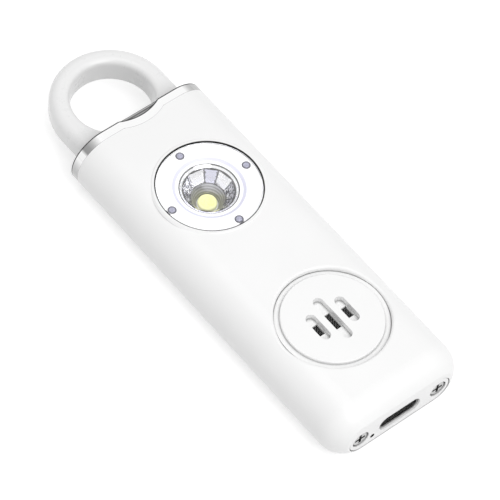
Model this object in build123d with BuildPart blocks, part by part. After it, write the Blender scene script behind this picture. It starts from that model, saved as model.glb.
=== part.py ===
from build123d import *
import os

# Personal safety alarm: a slim pocket body with a pull ring at the top, a round lamp and a
# round button on the front, and a charging socket in the bottom end. Sizes in millimetres.
# The alarm lies on its back: +Z is out of its front, +Y is up the body towards the ring.
# The origin is in the middle of its length and width, on the face that it lies on.
# Heights below are measured up the body, along +Y, from its flat bottom end.

# Clearances and cuts
fit_gap = 0.05
slide_gap = 0.08
rest_gap = 0.02
overrun = 1.0

# Body
body_width = 29.0
body_thickness = 12.6
body_height = 73.35
wall = 1.2
end_round_radius = 5.2
end_round_cut = 0.6

# Pull ring
ring_leg_margin = 4.975
ring_bar_width = 3.75
ring_bar_thickness = 5.8
ring_inner_round = 1.2
ring_outer_round = 1.85
ring_centre_rise = 7.05
ring_foot_reach = 2.65
ring_foot_round = 1.5
leg_step_side = 0.6
leg_step_front = 0.7
leg_stub_round = 1.2
right_stub_length = 8.0

# Trim band and top cap
trim_height = 1.8
trim_thickness = 0.5
dip_half_width = 4.4
dip_depth = 1.05
dip_round = 1.5
cap_rise = 0.15
cap_screw_side = 4.0
cap_screw_length = 3.2
seal_height = 1.15
seal_wall = 0.5

# Lamp
lamp_from_top = 20.35
window_radius = 9.5
window_thickness = 0.6
window_edge = 0.12
gasket_thickness = 0.2
gasket_height = 1.2
collar_width = 0.75
collar_rise = 0.15
collar_slope = 0.35
lamp_flange_lip = 1.1
lamp_flange_thickness = 0.85
lamp_step_outer_radius = 6.6
lamp_step_inner_radius = 6.0
lamp_step_depth = 0.3
lamp_skirt_wall = 0.8
lamp_skirt_radius = 6.9
stake_circle_radius = 8.33
stake_radius = 0.78
stake_length = 1.05
stake_count = 4
reflector_rim_radius = 4.75
reflector_waist_radius = 3.2
reflector_neck_radius = 1.95
reflector_wall = 0.4
reflector_flange_width = 0.65
reflector_flange_thickness = 0.45
reflector_lip_depth = 0.4
reflector_bowl_depth = 2.25
reflector_facets = 10
facet_start_angle = 28
bowl_middle_share = 0.52
emitter_side = 5.0
emitter_thickness = 0.4
phosphor_radius = 1.78
phosphor_thickness = 0.72
phosphor_round = 0.35
lamp_board_thickness = 0.6
lamp_board_gap = 0.85
lamp_board_length = 15.4
lamp_board_top_z = 6.55

# Button
button_height = 19.1
button_radius = 10.15
button_sink = 0.3
button_step_width = 1.0
button_step_depth = 0.65
button_edge_round = 0.2
button_flange_lip = 0.85
button_flange_thickness = 0.75
button_travel = 0.4
button_hole_round = 0.5
slot_width = 1.95
slot_depth = 1.25
slot_pitch = 3.23
slot_middle_length = 9.65
slot_outer_length = 5.8
sound_hole_width = 1.6
sound_hole_middle_length = 3.45
sound_hole_outer_length = 2.3
post_radius = 0.7
post_gap = 0.1
mesh_radius = 5.6
mesh_thickness = 0.1
pad_lip = 0.7
pad_width = 1.0
carrier_thickness = 0.6
carrier_side_gap = 1.4
carrier_margin = 0.5
carrier_round = 2.0

# Chassis
chassis_gap = 0.15
chassis_wall = 0.9
chassis_side_top_z = 9.0
chassis_start = 1.65
chassis_end_wall = 1.2
flange_to_chassis_end = 1.1
screw_boss_radius = 1.75
screw_boss_length = 6.0
board_post_radius = 1.5
shelf_width = 2.0
shelf_thickness = 1.2
socket_clearance = 0.2
stub_clearance = 0.5

# End plate and its screws
plate_side_margin = 3.3
plate_thickness = 1.4
plate_height = 6.0
plate_edge = 0.15
end_drop = 0.55
plate_inset = 0.1
port_width = 9.1
port_thickness = 3.4
screw_place_share = 0.622
screw_head_radius = 1.6
screw_head_thickness = 0.75
screw_head_round = 0.2
screw_recess_radius = 1.75
screw_recess_depth = 0.95
screw_shank_radius = 0.95
screw_length = 6.5
screw_cross_length = 2.2
screw_cross_width = 0.55
screw_cross_depth = 0.45
indicator_gap = 1.4
indicator_drop = 1.3
indicator_radius = 0.4
light_pipe_depth = 1.1

# Main board and what stands on it
board_thickness = 1.0
board_side_gap = 1.65
board_past_post = 4.15
board_boss_gap = 0.55
board_end_gap = 0.25
board_hole_side_margin = 1.8
board_hole_low_margin = 2.6
board_hole_high_margin = 2.1
small_screw_radius = 0.7
small_head_radius = 1.25
small_head_thickness = 0.8
board_screw_length = 1.3
socket_front_gap = 0.07
socket_length = 7.35
socket_wall = 0.3
socket_start = 0.5
socket_back = 1.2
socket_tongue_gap = 0.82
socket_tongue_thickness = 0.7
socket_tongue_length = 5.0
chip_thickness = 0.8
controller_length = 5.0
controller_width = 4.0
charger_side = 3.0
coil_length = 4.5
coil_width = 4.0
controller_x = -4.0
controller_place = 14.0
charger_x = 4.0
charger_place = 11.0
coil_round = 0.8
coil_x = 3.5
coil_place = 20.0
indicator_led_length = 1.0
indicator_led_width = 0.6
indicator_led_thickness = 0.7

# Siren
siren_offset = 1.05
siren_pad_gap = 0.45
siren_wall = 0.8
siren_top_z = 9.9
siren_leads_spacing = 5.0
siren_disc_thickness = 0.2
siren_disc_z = 7.1
siren_ledge_width = 0.6
ceramic_radius = 5.0
ceramic_thickness = 0.2
siren_mouth_radius = 2.2
siren_lead_radius = 0.25

# Switches
tact_side = 3.0
tact_thickness = 1.8
tact_stem_radius = 0.7
tact_stem_length = 1.0
tact_stem_exposed = 0.6
trigger_width = 3.6
trigger_length = 2.8
trigger_thickness = 2.0
plunger_radius = 0.6
plunger_length = 2.2
plunger_exposed = 1.0

# Battery
battery_side_gap = 3.25
battery_end_gap = 5.1
battery_thickness = 3.15
battery_board_gap = 1.9
battery_round = 0.8
battery_pad_thickness = 0.2
battery_pad_margin = 2.0
protection_width = 12.0
protection_length = 1.1
protection_thickness = 2.7
lead_radius = 0.4
lead_spacing = 6.0
lead_length = 2.5
link_width = 5.0
link_thickness = 0.15
link_overlap = 2.0
link_ramp = 0.9

# Worked out from the sizes above: the body
mid_z = body_thickness / 2
front_z = body_thickness
wall_inner_z = front_z - wall
sleeve_height = body_height - trim_height
cap_top = body_height + cap_rise
cavity_width = body_width - 2 * wall
cavity_thickness = body_thickness - 2 * wall

# Worked out: the ring
leg_x = body_width / 2 - ring_leg_margin
ring_outer_radius = leg_x + ring_bar_width / 2
ring_inner_radius = leg_x - ring_bar_width / 2
ring_foot_x = ring_inner_radius - ring_foot_reach
ring_foot_z = cap_top + fit_gap
ring_centre = body_height + ring_centre_rise
overall_length = ring_centre + ring_outer_radius
leg_stub_width = ring_bar_width - 2 * leg_step_side
leg_stub_thickness = ring_bar_thickness - 2 * leg_step_front

# Worked out: the lamp
lamp_height = body_height - lamp_from_top
lamp_hole_radius = window_radius + gasket_thickness + fit_gap
lamp_flange_radius = window_radius + lamp_flange_lip
window_bottom_z = front_z - window_thickness
lamp_plate_z = window_bottom_z - fit_gap
lamp_flange_z = wall_inner_z - fit_gap
lamp_bore_radius = reflector_rim_radius + reflector_flange_width + fit_gap
reflector_top_z = lamp_plate_z - lamp_step_depth - fit_gap
emitter_top_z = lamp_board_top_z + rest_gap + emitter_thickness
lamp_board_z = lamp_board_top_z - lamp_board_thickness
lamp_board_start = lamp_height - lamp_board_length / 2
lamp_board_end = lamp_height + lamp_board_length / 2

# Worked out: the chassis
chassis_inset = wall + chassis_gap
chassis_end = lamp_height + lamp_flange_radius + flange_to_chassis_end
pocket_width = body_width - 2 * (chassis_inset + chassis_wall)
pocket_thickness = body_thickness - 2 * (chassis_inset + chassis_wall)
pocket_start = chassis_start + chassis_end_wall
floor_z = chassis_inset + chassis_wall
lamp_board_width = pocket_width - 2 * lamp_board_gap

# Worked out: the end plate and the socket
plate_width = body_width - 2 * plate_side_margin
plate_end = plate_inset + plate_thickness
screw_x = port_width / 2 + screw_place_share * (plate_width - port_width) / 2
indicator_side = port_width / 2 + indicator_gap
socket_width = port_width - 2 * slide_gap
socket_thickness = port_thickness - 2 * socket_front_gap
socket_tongue_width = socket_width - 2 * socket_wall - 2 * socket_tongue_gap

# Worked out: the button, its pad and its carrier
button_face_z = front_z - button_sink
button_step_z = button_face_z - button_step_depth
button_flange_radius = button_radius + button_flange_lip
button_flange_top_z = wall_inner_z - fit_gap
button_bottom_z = button_flange_top_z - button_flange_thickness
button_hole_radius = button_radius + slide_gap
pad_inner_radius = button_flange_radius - pad_lip - pad_width
post_height = button_height + pad_inner_radius - post_radius - post_gap
carrier_z = chassis_side_top_z + fit_gap
carrier_top_z = carrier_z + carrier_thickness
carrier_width = cavity_width - 2 * carrier_side_gap
carrier_length = 2 * (button_flange_radius + carrier_margin)

# Worked out: the main board
board_top_z = mid_z - end_drop - socket_thickness / 2 - rest_gap
board_z = board_top_z - board_thickness
board_width = pocket_width - 2 * board_side_gap
board_end = post_height + board_past_post
tongue_width = 2 * (screw_x - screw_boss_radius - fit_gap)
tongue_start = pocket_start + board_end_gap
tongue_end = pocket_start + screw_boss_length + board_boss_gap
board_hole_x = board_width / 2 - board_hole_side_margin
board_hole_low = tongue_end + board_hole_low_margin
board_hole_high = board_end - board_hole_high_margin

# Worked out: the siren and the switches
siren_height = button_height - siren_offset
siren_radius = pad_inner_radius - siren_offset - siren_pad_gap
siren_disc_radius = siren_radius - siren_wall - slide_gap
tact_z = board_top_z + rest_gap
tact_top_z = tact_z + tact_thickness
stem_top_z = tact_top_z + tact_stem_exposed
trigger_z = lamp_board_top_z + rest_gap
trigger_mid_z = trigger_z + trigger_thickness / 2
trigger_end = lamp_board_end - fit_gap
plunger_end = trigger_end + plunger_exposed
left_stub_length = cap_top - plunger_end - fit_gap

# Worked out: the battery
battery_start = board_end + battery_board_gap
battery_length = chassis_end - chassis_end_wall - battery_end_gap - battery_start
battery_width = pocket_width - 2 * battery_side_gap
battery_z = floor_z + battery_pad_thickness + 2 * rest_gap
battery_top_z = battery_z + battery_thickness
protection_start = battery_start - rest_gap - protection_length
link_z = battery_top_z + fit_gap

os.makedirs("parts", exist_ok=True)


def level(height):
    """The Y of a place this far up the body."""
    return height - overall_length / 2


def across(height):
    """A plane across the body, looking up it: its x is +X and its y runs towards the back."""
    return Plane(origin=(0, level(height), mid_z), x_dir=(1, 0, 0), z_dir=(0, 1, 0))


def upright(height):
    """A plane standing in the body across its width: its x is +X and its y is +Z."""
    return Plane(origin=(0, level(height), 0), x_dir=(1, 0, 0), z_dir=(0, -1, 0))


def turning_axis(height):
    """The axis out of the front face at this height."""
    return Axis((0, level(height), 0), (0, 0, 1))


def rounded_body(inset, start, top):
    """The body's outline drawn in by inset, with its bottom end rounded and then cut flat."""
    with BuildPart() as solid:
        with BuildSketch(across(inset - end_round_cut)):
            SlotOverall(body_width - 2 * inset, body_thickness - 2 * inset)
        extrude(amount=top - inset + end_round_cut)
        fillet(solid.faces().sort_by(Axis.Y)[0].edges(), end_round_radius - inset)
        split(bisect_by=across(start), keep=Keep.TOP)
    return solid.part


def below_edge(edge_height):
    """All that lies below an edge which runs level round the body and dips at the front."""
    low = -overrun
    half_width = body_width / 2 + overrun
    with BuildPart() as block:
        with BuildSketch(Plane.XY.offset(-overrun)):
            with Locations((0, level(low))):
                Rectangle(2 * half_width, edge_height - low, align=(Align.CENTER, Align.MIN))
        extrude(amount=mid_z + overrun)
        with BuildSketch(Plane.XY.offset(mid_z)) as front:
            with BuildLine():
                edge_y = level(edge_height)
                Line((-half_width, edge_y), (-dip_half_width, edge_y))
                ThreePointArc((-dip_half_width, edge_y), (0, edge_y - dip_depth), (dip_half_width, edge_y))
                Polyline((dip_half_width, edge_y), (half_width, edge_y), (half_width, level(low)),
                         (-half_width, level(low)), (-half_width, edge_y))
            make_face()
            dip_ends = front.vertices().group_by(Axis.Y)[-1].sort_by(Axis.X)[1:3]
            fillet(dip_ends, dip_round)
        extrude(amount=mid_z + overrun)
    return block.part


def leg_places(gap_x):
    """The two places of the ring's legs, as points on a plane across the body."""
    return [(-gap_x, 0), (gap_x, 0)]


def end_places(gap_x):
    """Two places in the bottom end, level with the charging port, on a plane across the body."""
    return [(-gap_x, end_drop), (gap_x, end_drop)]


board_holes = [(side * board_hole_x, level(height))
               for side in (-1, 1) for height in (board_hole_low, board_hole_high)]
outer_shape = rounded_body(0, 0, body_height)
cavity_shape = rounded_body(wall, -overrun, body_height)
inside_shape = rounded_body(wall + fit_gap, 0, sleeve_height)
chassis_shape = rounded_body(chassis_inset, chassis_start, chassis_end)
below_sleeve_edge = below_edge(sleeve_height)
below_trim_edge = below_edge(body_height)

# Sleeve: one moulding with full round sides, open at the top, with a slot in the bottom end
# for the plate, a round hole for the lamp with a raised collar, and one for the button.
with BuildPart() as housing_sleeve:
    add(outer_shape)
    with BuildSketch(upright(lamp_height)):
        with BuildLine():
            collar_radius = lamp_hole_radius + collar_width
            collar_top_z = front_z + collar_rise
            Polyline((0, mid_z), (collar_radius, mid_z), (collar_radius, front_z - collar_rise),
                     (collar_radius - collar_slope, collar_top_z), (0, collar_top_z), close=True)
        make_face()
    revolve(axis=turning_axis(lamp_height))
    add(cavity_shape, mode=Mode.SUBTRACT)
    with BuildSketch(across(-overrun)):
        with Locations((0, end_drop)):
            SlotOverall(plate_width + 2 * fit_gap, plate_height + 2 * fit_gap)
    extrude(amount=overrun + plate_end, mode=Mode.SUBTRACT)
    with BuildSketch(Plane.XY.offset(mid_z)):
        with Locations((0, level(lamp_height))):
            Circle(lamp_hole_radius)
        with Locations((0, level(button_height))):
            Circle(button_hole_radius)
    extrude(amount=mid_z + overrun, mode=Mode.SUBTRACT)
    rim = Vertex(0, level(button_height) - button_hole_radius, front_z)
    fillet(housing_sleeve.edges().sort_by_distance(rim)[0], button_hole_round)
    add(below_sleeve_edge, mode=Mode.INTERSECT)
housing_sleeve.part.label = "housing_sleeve"
export_step(housing_sleeve.part, "parts/housing_sleeve.step")

# Trim: a thin bright band over the sleeve's top edge, with the same dip at the front.
with BuildPart() as trim_band:
    with BuildSketch(across(sleeve_height - dip_depth - overrun)):
        SlotOverall(body_width, body_thickness)
        SlotOverall(body_width - 2 * trim_thickness, body_thickness - 2 * trim_thickness, mode=Mode.SUBTRACT)
    extrude(amount=trim_height + dip_depth + 2 * overrun)
    add(below_trim_edge, mode=Mode.INTERSECT)
    add(below_sleeve_edge, mode=Mode.SUBTRACT)
trim_band.part.label = "trim_band"
export_step(trim_band.part, "parts/trim_band.step")

# Top cap: a head inside the trim and a spigot in the sleeve, with two sockets for the ring's legs.
with BuildPart() as top_cap:
    with BuildSketch(across(chassis_end + fit_gap)):
        SlotOverall(cavity_width - 2 * slide_gap, cavity_thickness - 2 * slide_gap)
    extrude(amount=sleeve_height + fit_gap - chassis_end)
    with BuildSketch(across(sleeve_height + fit_gap)):
        head_inset = trim_thickness + fit_gap
        SlotOverall(body_width - 2 * head_inset, body_thickness - 2 * head_inset)
    extrude(amount=cap_top - sleeve_height - fit_gap)
    chamfer(top_cap.faces().sort_by(Axis.Y)[-1].edges(), fit_gap)
    with BuildSketch(across(chassis_end)):
        with Locations(*leg_places(leg_x)):
            RectangleRounded(leg_stub_width + 2 * slide_gap, leg_stub_thickness + 2 * slide_gap,
                             leg_stub_round + slide_gap)
    extrude(amount=cap_top + overrun - chassis_end, mode=Mode.SUBTRACT)
    with BuildSketch(across(cap_top - seal_height - fit_gap)):
        with Locations(*leg_places(leg_x)):
            seal_seat_wall = slide_gap + seal_wall + fit_gap
            RectangleRounded(leg_stub_width + 2 * seal_seat_wall, leg_stub_thickness + 2 * seal_seat_wall,
                             leg_stub_round + seal_seat_wall)
    extrude(amount=seal_height + overrun, mode=Mode.SUBTRACT)
    with BuildSketch(across(chassis_end)):
        with Locations(*leg_places(cap_screw_side)):
            Circle(small_screw_radius + fit_gap)
    extrude(amount=cap_screw_length, mode=Mode.SUBTRACT)
top_cap.part.label = "top_cap"
export_step(top_cap.part, "parts/top_cap.step")

# Pull ring: a thick shackle with a round eye, whose feet reach in towards each other and step
# down to stubs that go into the cap. The left stub is the longer one, and its end holds the
# trigger switch down.
with BuildPart() as pull_ring:
    with BuildSketch(Plane.XY.offset(mid_z)):
        with Locations((0, level(ring_centre))):
            Circle(ring_outer_radius)
        with Locations((0, level(ring_foot_z))):
            Rectangle(2 * ring_outer_radius, ring_centre - ring_foot_z, align=(Align.CENTER, Align.MIN))
            Rectangle(2 * ring_outer_radius, ring_outer_radius, align=(Align.CENTER, Align.MAX),
                      mode=Mode.SUBTRACT)
    extrude(amount=ring_bar_thickness / 2, both=True)
    outer_edges = pull_ring.edges().filter_by(Plane.XY)
    fillet(outer_edges - outer_edges.group_by(Axis.Y)[0], ring_outer_round)
    with BuildSketch(Plane.XY.offset(mid_z)) as eye:
        with BuildLine():
            corner_height = ring_centre - (ring_inner_radius ** 2 - ring_foot_x ** 2) ** 0.5
            crown_height = ring_centre + ring_inner_radius
            ThreePointArc((-ring_foot_x, level(corner_height)), (0, level(crown_height)),
                          (ring_foot_x, level(corner_height)))
            Polyline((ring_foot_x, level(corner_height)), (ring_foot_x, level(body_height)),
                     (-ring_foot_x, level(body_height)), (-ring_foot_x, level(corner_height)))
        make_face()
        fillet(eye.vertices().group_by(Axis.Y)[-1], ring_foot_round)
    extrude(amount=ring_bar_thickness, both=True, mode=Mode.SUBTRACT)
    eye_edges = pull_ring.edges(Select.LAST).filter_by(Plane.XY)
    fillet(eye_edges - eye_edges.group_by(Axis.Y)[0], ring_inner_round)
    for side, stub_length in ((-1, left_stub_length), (1, right_stub_length)):
        with BuildSketch(across(cap_top - stub_length)):
            with Locations((side * leg_x, 0)):
                RectangleRounded(leg_stub_width, leg_stub_thickness, leg_stub_round)
        extrude(amount=stub_length + 2 * fit_gap)
pull_ring.part.label = "pull_ring"
export_step(pull_ring.part, "parts/pull_ring.step")

# Leg seals: two soft sleeves let into the cap round the ring's stubs.
with BuildPart() as ring_leg_seals:
    with BuildSketch(across(cap_top - seal_height)):
        with Locations(*leg_places(leg_x)):
            seal_outer = slide_gap + seal_wall
            RectangleRounded(leg_stub_width + 2 * seal_outer, leg_stub_thickness + 2 * seal_outer,
                             leg_stub_round + seal_outer)
            RectangleRounded(leg_stub_width + 2 * slide_gap, leg_stub_thickness + 2 * slide_gap,
                             leg_stub_round + slide_gap, mode=Mode.SUBTRACT)
    extrude(amount=seal_height - rest_gap)
ring_leg_seals.part.label = "ring_leg_seals"
export_step(ring_leg_seals.part, "parts/ring_leg_seals.step")

# Lamp window: a clear disc that covers the lamp and its white plate.
with BuildPart() as lamp_window:
    with BuildSketch(Plane.XY.offset(window_bottom_z)):
        with Locations((0, level(lamp_height))):
            Circle(window_radius)
    extrude(amount=window_thickness)
    chamfer(lamp_window.faces().sort_by(Axis.Z)[-1].edges(), window_edge)
lamp_window.part.label = "lamp_window"
export_step(lamp_window.part, "parts/lamp_window.step")

# Lamp gasket: a thin dark ring between the window and the sleeve.
with BuildPart() as lamp_gasket:
    with BuildSketch(Plane.XY.offset(lamp_flange_z + rest_gap)):
        with Locations((0, level(lamp_height))):
            Circle(window_radius + rest_gap + gasket_thickness)
            Circle(window_radius + rest_gap, mode=Mode.SUBTRACT)
    extrude(amount=gasket_height)
lamp_gasket.part.label = "lamp_gasket"
export_step(lamp_gasket.part, "parts/lamp_gasket.step")

# Lamp base: a flanged white plate behind the window, stepped down to the reflector, with a
# skirt that reaches back to the lamp board.
with BuildPart() as lamp_base:
    flange_bottom_z = lamp_flange_z - lamp_flange_thickness
    with BuildSketch(Plane.XY.offset(flange_bottom_z)):
        with Locations((0, level(lamp_height))):
            Circle(lamp_flange_radius)
    extrude(amount=lamp_flange_thickness)
    add(inside_shape, mode=Mode.INTERSECT)
    with BuildSketch(upright(lamp_height)):
        with BuildLine():
            step_z = lamp_plate_z - lamp_step_depth
            skirt_end_z = lamp_board_top_z + fit_gap
            Polyline((0, flange_bottom_z), (0, step_z), (lamp_step_inner_radius, step_z),
                     (lamp_step_outer_radius, lamp_plate_z), (window_radius - rest_gap, lamp_plate_z),
                     (window_radius - rest_gap, flange_bottom_z), (lamp_skirt_radius, flange_bottom_z),
                     (lamp_skirt_radius, skirt_end_z), (lamp_skirt_radius - lamp_skirt_wall, skirt_end_z),
                     (lamp_skirt_radius - lamp_skirt_wall, flange_bottom_z), close=True)
        make_face()
    revolve(axis=turning_axis(lamp_height))
    with BuildSketch(upright(lamp_height)):
        with BuildLine():
            seat_z = reflector_top_z - reflector_flange_thickness - rest_gap
            seat_radius = reflector_rim_radius + reflector_wall + fit_gap
            Polyline((0, flange_bottom_z), (seat_radius, flange_bottom_z), (seat_radius, seat_z),
                     (lamp_bore_radius, seat_z), (lamp_bore_radius, lamp_plate_z),
                     (0, lamp_plate_z), close=True)
        make_face()
    revolve(axis=turning_axis(lamp_height), mode=Mode.SUBTRACT)
    with BuildSketch(Plane.XY.offset(lamp_plate_z + overrun)):
        with Locations((0, level(lamp_height))):
            with PolarLocations(stake_circle_radius, stake_count):
                Circle(stake_radius + fit_gap)
    extrude(amount=-stake_length - overrun, mode=Mode.SUBTRACT)
lamp_base.part.label = "lamp_base"
export_step(lamp_base.part, "parts/lamp_base.step")

# Lamp stakes: four grey pins that locate the window on the plate.
with BuildPart() as lamp_stakes:
    with BuildSketch(Plane.XY.offset(window_bottom_z - rest_gap)):
        with Locations((0, level(lamp_height))):
            with PolarLocations(stake_circle_radius, stake_count):
                Circle(stake_radius)
    extrude(amount=-stake_length)
lamp_stakes.part.label = "lamp_stakes"
export_step(lamp_stakes.part, "parts/lamp_stakes.step")

# Reflector: a sloping lip, a faceted bowl and a plain cone, open at the neck for the emitter.
with BuildPart() as reflector:
    with BuildSketch(upright(lamp_height)):
        with BuildLine():
            mouth_z = reflector_top_z - reflector_lip_depth
            waist_z = mouth_z - reflector_bowl_depth
            flange_under_z = reflector_top_z - reflector_flange_thickness
            neck_z = emitter_top_z + rest_gap
            Polyline((0, neck_z), (reflector_neck_radius + reflector_wall, neck_z),
                     (reflector_waist_radius + reflector_wall, waist_z),
                     (reflector_rim_radius + reflector_wall, flange_under_z),
                     (reflector_rim_radius + reflector_flange_width, flange_under_z),
                     (reflector_rim_radius + reflector_flange_width, reflector_top_z),
                     (reflector_rim_radius, mouth_z), (0, mouth_z), close=True)
        make_face()
    revolve(axis=turning_axis(lamp_height))
    middle_z = mouth_z - reflector_bowl_depth / 2
    middle_radius = bowl_middle_share * (reflector_rim_radius + reflector_waist_radius)
    for bowl_z, bowl_radius in ((mouth_z, reflector_rim_radius), (middle_z, middle_radius),
                                (waist_z, reflector_waist_radius)):
        with BuildSketch(Plane.XY.offset(bowl_z)):
            with Locations((0, level(lamp_height))):
                RegularPolygon(bowl_radius, reflector_facets, rotation=facet_start_angle)
    loft(ruled=True, mode=Mode.SUBTRACT)
    for cone_z, cone_radius in ((waist_z, reflector_waist_radius - fit_gap), (neck_z, reflector_neck_radius)):
        with BuildSketch(Plane.XY.offset(cone_z)):
            with Locations((0, level(lamp_height))):
                Circle(cone_radius)
    loft(mode=Mode.SUBTRACT)
reflector.part.label = "reflector"
export_step(reflector.part, "parts/reflector.step")

# Light emitter: a square package with a domed yellow phosphor.
with BuildPart() as led_emitter:
    with BuildSketch(Plane.XY.offset(lamp_board_top_z + rest_gap)):
        with Locations((0, level(lamp_height))):
            Rectangle(emitter_side, emitter_side)
    extrude(amount=emitter_thickness)
led_emitter.part.label = "led_emitter"
export_step(led_emitter.part, "parts/led_emitter.step")

with BuildPart() as led_phosphor:
    with BuildSketch(Plane.XY.offset(emitter_top_z)):
        with Locations((0, level(lamp_height))):
            Circle(phosphor_radius)
    extrude(amount=phosphor_thickness)
    fillet(led_phosphor.faces().sort_by(Axis.Z)[-1].edges(), phosphor_round)
led_phosphor.part.label = "led_phosphor"
export_step(led_phosphor.part, "parts/led_phosphor.step")

# Lamp board: carries the emitter and the trigger switch, and lies on the chassis shelves.
with BuildPart() as lamp_board:
    with BuildSketch(Plane.XY.offset(lamp_board_z)):
        with Locations((0, level(lamp_height))):
            Rectangle(lamp_board_width, lamp_board_length)
    extrude(amount=lamp_board_thickness)
lamp_board.part.label = "lamp_board"
export_step(lamp_board.part, "parts/lamp_board.step")

# Chassis: an open trough that carries the boards and the battery, closed at both ends.
with BuildPart() as chassis:
    add(chassis_shape)
    with BuildSketch(Plane.XY.offset(chassis_side_top_z)):
        with Locations((0, level(body_height / 2))):
            Rectangle(body_width, overall_length)
    extrude(amount=body_thickness, mode=Mode.SUBTRACT)
    with BuildSketch(across(pocket_start)):
        SlotOverall(pocket_width, pocket_thickness)
    extrude(amount=chassis_end - chassis_start - 2 * chassis_end_wall, mode=Mode.SUBTRACT)
    with BuildSketch(across(pocket_start)):
        with Locations(*end_places(screw_x)):
            Circle(screw_boss_radius)
    extrude(amount=screw_boss_length)
    with BuildSketch(Plane.XY.offset(floor_z - rest_gap)):
        with Locations(*board_holes):
            Circle(board_post_radius)
    extrude(amount=board_z - floor_z)
    for side in (-1, 1):
        with BuildSketch(Plane.XY.offset(lamp_board_z - shelf_thickness - rest_gap)):
            with Locations((side * (pocket_width / 2 - shelf_width / 2 + rest_gap), level(lamp_height))):
                Rectangle(shelf_width, lamp_board_length)
        extrude(amount=shelf_thickness)
    with BuildSketch(across(chassis_start - overrun)):
        with Locations((0, end_drop)):
            SlotOverall(socket_width + 2 * socket_clearance, socket_thickness + 2 * socket_clearance)
        with Locations((-indicator_side, end_drop + indicator_drop)):
            Circle(indicator_radius + slide_gap)
    extrude(amount=chassis_end_wall + 2 * overrun, mode=Mode.SUBTRACT)
    with BuildSketch(across(chassis_start - overrun)):
        with Locations(*end_places(screw_x)):
            Circle(screw_shank_radius + fit_gap)
    extrude(amount=screw_boss_length + chassis_end_wall + overrun, mode=Mode.SUBTRACT)
    with BuildSketch(across(chassis_end - chassis_end_wall - overrun)):
        with Locations(*leg_places(leg_x)):
            Rectangle(leg_stub_width + 2 * stub_clearance, body_thickness)
        with Locations(*leg_places(cap_screw_side)):
            Circle(small_screw_radius + fit_gap)
    extrude(amount=chassis_end_wall + 2 * overrun, mode=Mode.SUBTRACT)
    with BuildSketch(Plane.XY.offset(board_z)):
        with Locations(*board_holes):
            Circle(small_screw_radius + fit_gap)
    extrude(amount=-board_screw_length, mode=Mode.SUBTRACT)
chassis.part.label = "chassis"
export_step(chassis.part, "parts/chassis.step")

# End plate: closes the slot in the bottom end, with the charging port, two screw recesses
# and a pinhole for the indicator.
with BuildPart() as end_plate:
    with BuildSketch(across(plate_inset)):
        with Locations((0, end_drop)):
            SlotOverall(plate_width, plate_height)
            SlotOverall(port_width, port_thickness, mode=Mode.SUBTRACT)
        with Locations((-indicator_side, end_drop + indicator_drop)):
            Circle(indicator_radius, mode=Mode.SUBTRACT)
        with Locations(*end_places(screw_x)):
            Circle(screw_shank_radius + fit_gap, mode=Mode.SUBTRACT)
    extrude(amount=plate_thickness)
    chamfer(end_plate.faces().sort_by(Axis.Y)[0].outer_wire().edges(), plate_edge)
    with BuildSketch(across(plate_inset)):
        with Locations(*end_places(screw_x)):
            Circle(screw_recess_radius)
    extrude(amount=screw_recess_depth, mode=Mode.SUBTRACT)
end_plate.part.label = "end_plate"
export_step(end_plate.part, "parts/end_plate.step")

# End screws: two cross-head screws that hold the plate and the sleeve to the chassis.
with BuildPart() as end_screws:
    head_seat = plate_inset + screw_recess_depth - rest_gap
    with BuildSketch(across(head_seat - screw_head_thickness)):
        with Locations(*end_places(screw_x)):
            Circle(screw_head_radius)
    extrude(amount=screw_head_thickness)
    fillet(end_screws.faces().filter_by(Plane.XZ).group_by(Axis.Y)[0].edges(), screw_head_round)
    with BuildSketch(across(head_seat)):
        with Locations(*end_places(screw_x)):
            Circle(screw_shank_radius)
    extrude(amount=screw_length)
    with BuildSketch(across(head_seat - screw_head_thickness)):
        with Locations(*end_places(screw_x)):
            Rectangle(screw_cross_length, screw_cross_width)
            Rectangle(screw_cross_width, screw_cross_length)
    extrude(amount=screw_cross_depth, mode=Mode.SUBTRACT)
end_screws.part.label = "end_screws"
export_step(end_screws.part, "parts/end_screws.step")

# Main board: the full width of the chassis, with a tongue between the screw bosses.
with BuildPart() as main_board:
    with BuildSketch(Plane.XY.offset(board_z)):
        with Locations((0, level(tongue_end))):
            Rectangle(board_width, board_end - tongue_end, align=(Align.CENTER, Align.MIN))
        with Locations((0, level(tongue_start))):
            Rectangle(tongue_width, tongue_end - tongue_start, align=(Align.CENTER, Align.MIN))
        with Locations(*board_holes):
            Circle(small_screw_radius + fit_gap, mode=Mode.SUBTRACT)
    extrude(amount=board_thickness)
main_board.part.label = "main_board"
export_step(main_board.part, "parts/main_board.step")

# Board screws: two, in opposite corners of the main board.
with BuildPart() as board_screws:
    screw_corners = [board_holes[0], board_holes[-1]]
    with BuildSketch(Plane.XY.offset(board_top_z + rest_gap)):
        with Locations(*screw_corners):
            Circle(small_head_radius)
    extrude(amount=small_head_thickness)
    with BuildSketch(Plane.XY.offset(board_top_z + rest_gap)):
        with Locations(*screw_corners):
            Circle(small_screw_radius)
    extrude(amount=fit_gap - board_thickness - board_screw_length)
board_screws.part.label = "board_screws"
export_step(board_screws.part, "parts/board_screws.step")

# Cap screws: two, from the chassis's top wall up into the cap.
with BuildPart() as cap_screws:
    cap_screw_seat = chassis_end - chassis_end_wall - rest_gap
    with BuildSketch(across(cap_screw_seat - small_head_thickness)):
        with Locations(*leg_places(cap_screw_side)):
            Circle(small_head_radius)
    extrude(amount=small_head_thickness)
    with BuildSketch(across(cap_screw_seat)):
        with Locations(*leg_places(cap_screw_side)):
            Circle(small_screw_radius)
    extrude(amount=chassis_end_wall + cap_screw_length - fit_gap)
cap_screws.part.label = "cap_screws"
export_step(cap_screws.part, "parts/cap_screws.step")

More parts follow.
